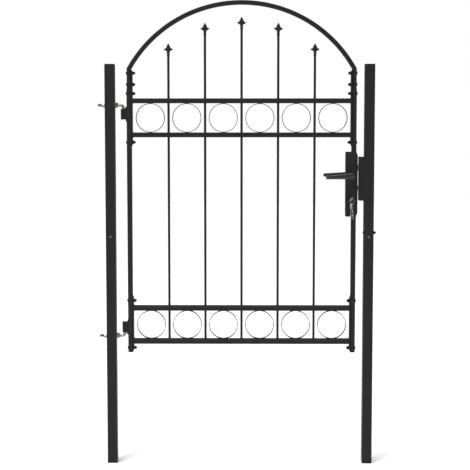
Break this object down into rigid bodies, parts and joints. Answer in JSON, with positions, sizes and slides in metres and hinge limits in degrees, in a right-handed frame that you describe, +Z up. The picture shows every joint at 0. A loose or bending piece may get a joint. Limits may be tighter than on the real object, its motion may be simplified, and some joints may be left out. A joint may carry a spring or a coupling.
{
  "type": "garden gate",
  "caption": "Arched steel garden gate leaf with spear-topped bars and bands of rings, hung on bolt hinges between two square posts, with a lever lock.",
  "frame": {"origin": "centre of the hinge post's foot, where it stands on the ground", "axes": "+Z up, +X from the hinge post to the lock post, front of the gate towards -Y"},
  "size_m": [1.154, 0.138, 1.9339],
  "materials": {
    "powder_coat": "satin black powder coat",
    "lever_coat": "satin black coat on cast aluminium",
    "cap_plastic": "fine grained black plastic",
    "zinc_plate": "zinc plated, dull",
    "spring_steel": "drawn wire",
    "nickel_brass": "nickel plated"
  },
  "bodies": {
    "posts": {"hinge_post": "powder_coat", "lock_post": "powder_coat", "post_caps": "cap_plastic", "post_face_screws": "zinc_plate", "cross_bolt": "powder_coat", "cross_nut": "powder_coat", "hinge_pin_upper": "zinc_plate", "hinge_pin_lower": "zinc_plate", "hinge_nuts": "zinc_plate", "hinge_washers": "zinc_plate", "keeper": "powder_coat", "keeper_screws": "zinc_plate"},
    "leaf": {"hinge_stile": "powder_coat", "lock_stile_upper": "powder_coat", "lock_stile_lower": "powder_coat", "stile_plugs": "cap_plastic", "arch": "powder_coat", "strap_upper_hinge": "powder_coat", "strap_lower_hinge": "powder_coat", "strap_upper_lock": "powder_coat", "strap_lower_lock": "powder_coat", "bottom_rail": "powder_coat", "lower_band_rail": "powder_coat", "upper_band_rail": "powder_coat", "top_rail": "powder_coat", "bar_1": "powder_coat", "bar_2": "powder_coat", "bar_3": "powder_coat", "bar_4": "powder_coat", "bar_5": "powder_coat", "finials": "powder_coat", "rings_lower": "powder_coat", "rings_upper": "powder_coat", "frame_bolts": "powder_coat", "frame_nuts": "powder_coat", "frame_washers": "powder_coat", "hinge_eye_upper": "powder_coat", "hinge_eye_lower": "powder_coat", "lock_case": "powder_coat", "lock_forend": "powder_coat", "lock_screws": "powder_coat", "escutcheon_front": "powder_coat", "escutcheon_back": "powder_coat", "cylinder_body": "nickel_brass", "cylinder_screw": "zinc_plate", "follower_spring": "spring_steel", "latch_spring": "spring_steel"},
    "handle": {"handle_front": "lever_coat", "handle_back": "lever_coat", "spindle": "zinc_plate", "follower": "zinc_plate"},
    "latch": {"latch_bolt": "zinc_plate"},
    "dead_bolt": {"dead_bolt": "zinc_plate"},
    "key": {"cylinder_plug": "nickel_brass", "key_in_lock": "nickel_brass"},
    "key_bunch": {"key_ring": "spring_steel", "spare_key_left": "nickel_brass", "spare_key_right": "nickel_brass"}
  },
  "joints": [
    {"name": "gate_swing", "type": "hinge", "parent": "posts", "child": "leaf", "pos_m": [0.055, 0, 1], "axis": [0, 0, -1], "range_deg": [0, 110]},
    {"name": "handle_turn", "type": "hinge", "parent": "leaf", "child": "handle", "pos_m": [0.997, 0, 1.214], "axis": [0, -1, 0], "range_deg": [0, 40], "stiffness_Nm_per_rad": 0.9, "springref_deg": -28.65},
    {"name": "latch_slide", "type": "slide", "parent": "leaf", "child": "latch", "axis": [-1, 0, 0], "range_m": [0, 0.013], "deforming": ["latch_spring"]},
    {"name": "key_turn", "type": "hinge", "parent": "leaf", "child": "key", "pos_m": [0.997, 0, 1.122], "axis": [0, -1, 0], "range_deg": [0, 70]},
    {"name": "dead_bolt_slide", "type": "slide", "parent": "leaf", "child": "dead_bolt", "axis": [-1, 0, 0], "range_m": [0, 0.012]},
    {"name": "key_ring_swing", "type": "hinge", "parent": "key", "child": "key_bunch", "pos_m": [0.997, -0.0525, 1.122], "axis": [0, -1, 0], "range_deg": [-70, 0]}
  ],
  "couplings": [
    {"joint": "latch_slide", "follows": "handle_turn", "m_per_rad": 0.0186},
    {"joint": "dead_bolt_slide", "follows": "key_turn", "m_per_rad": 0.00982},
    {"joint": "key_ring_swing", "follows": "key_turn", "ratio": -1}
  ]
}
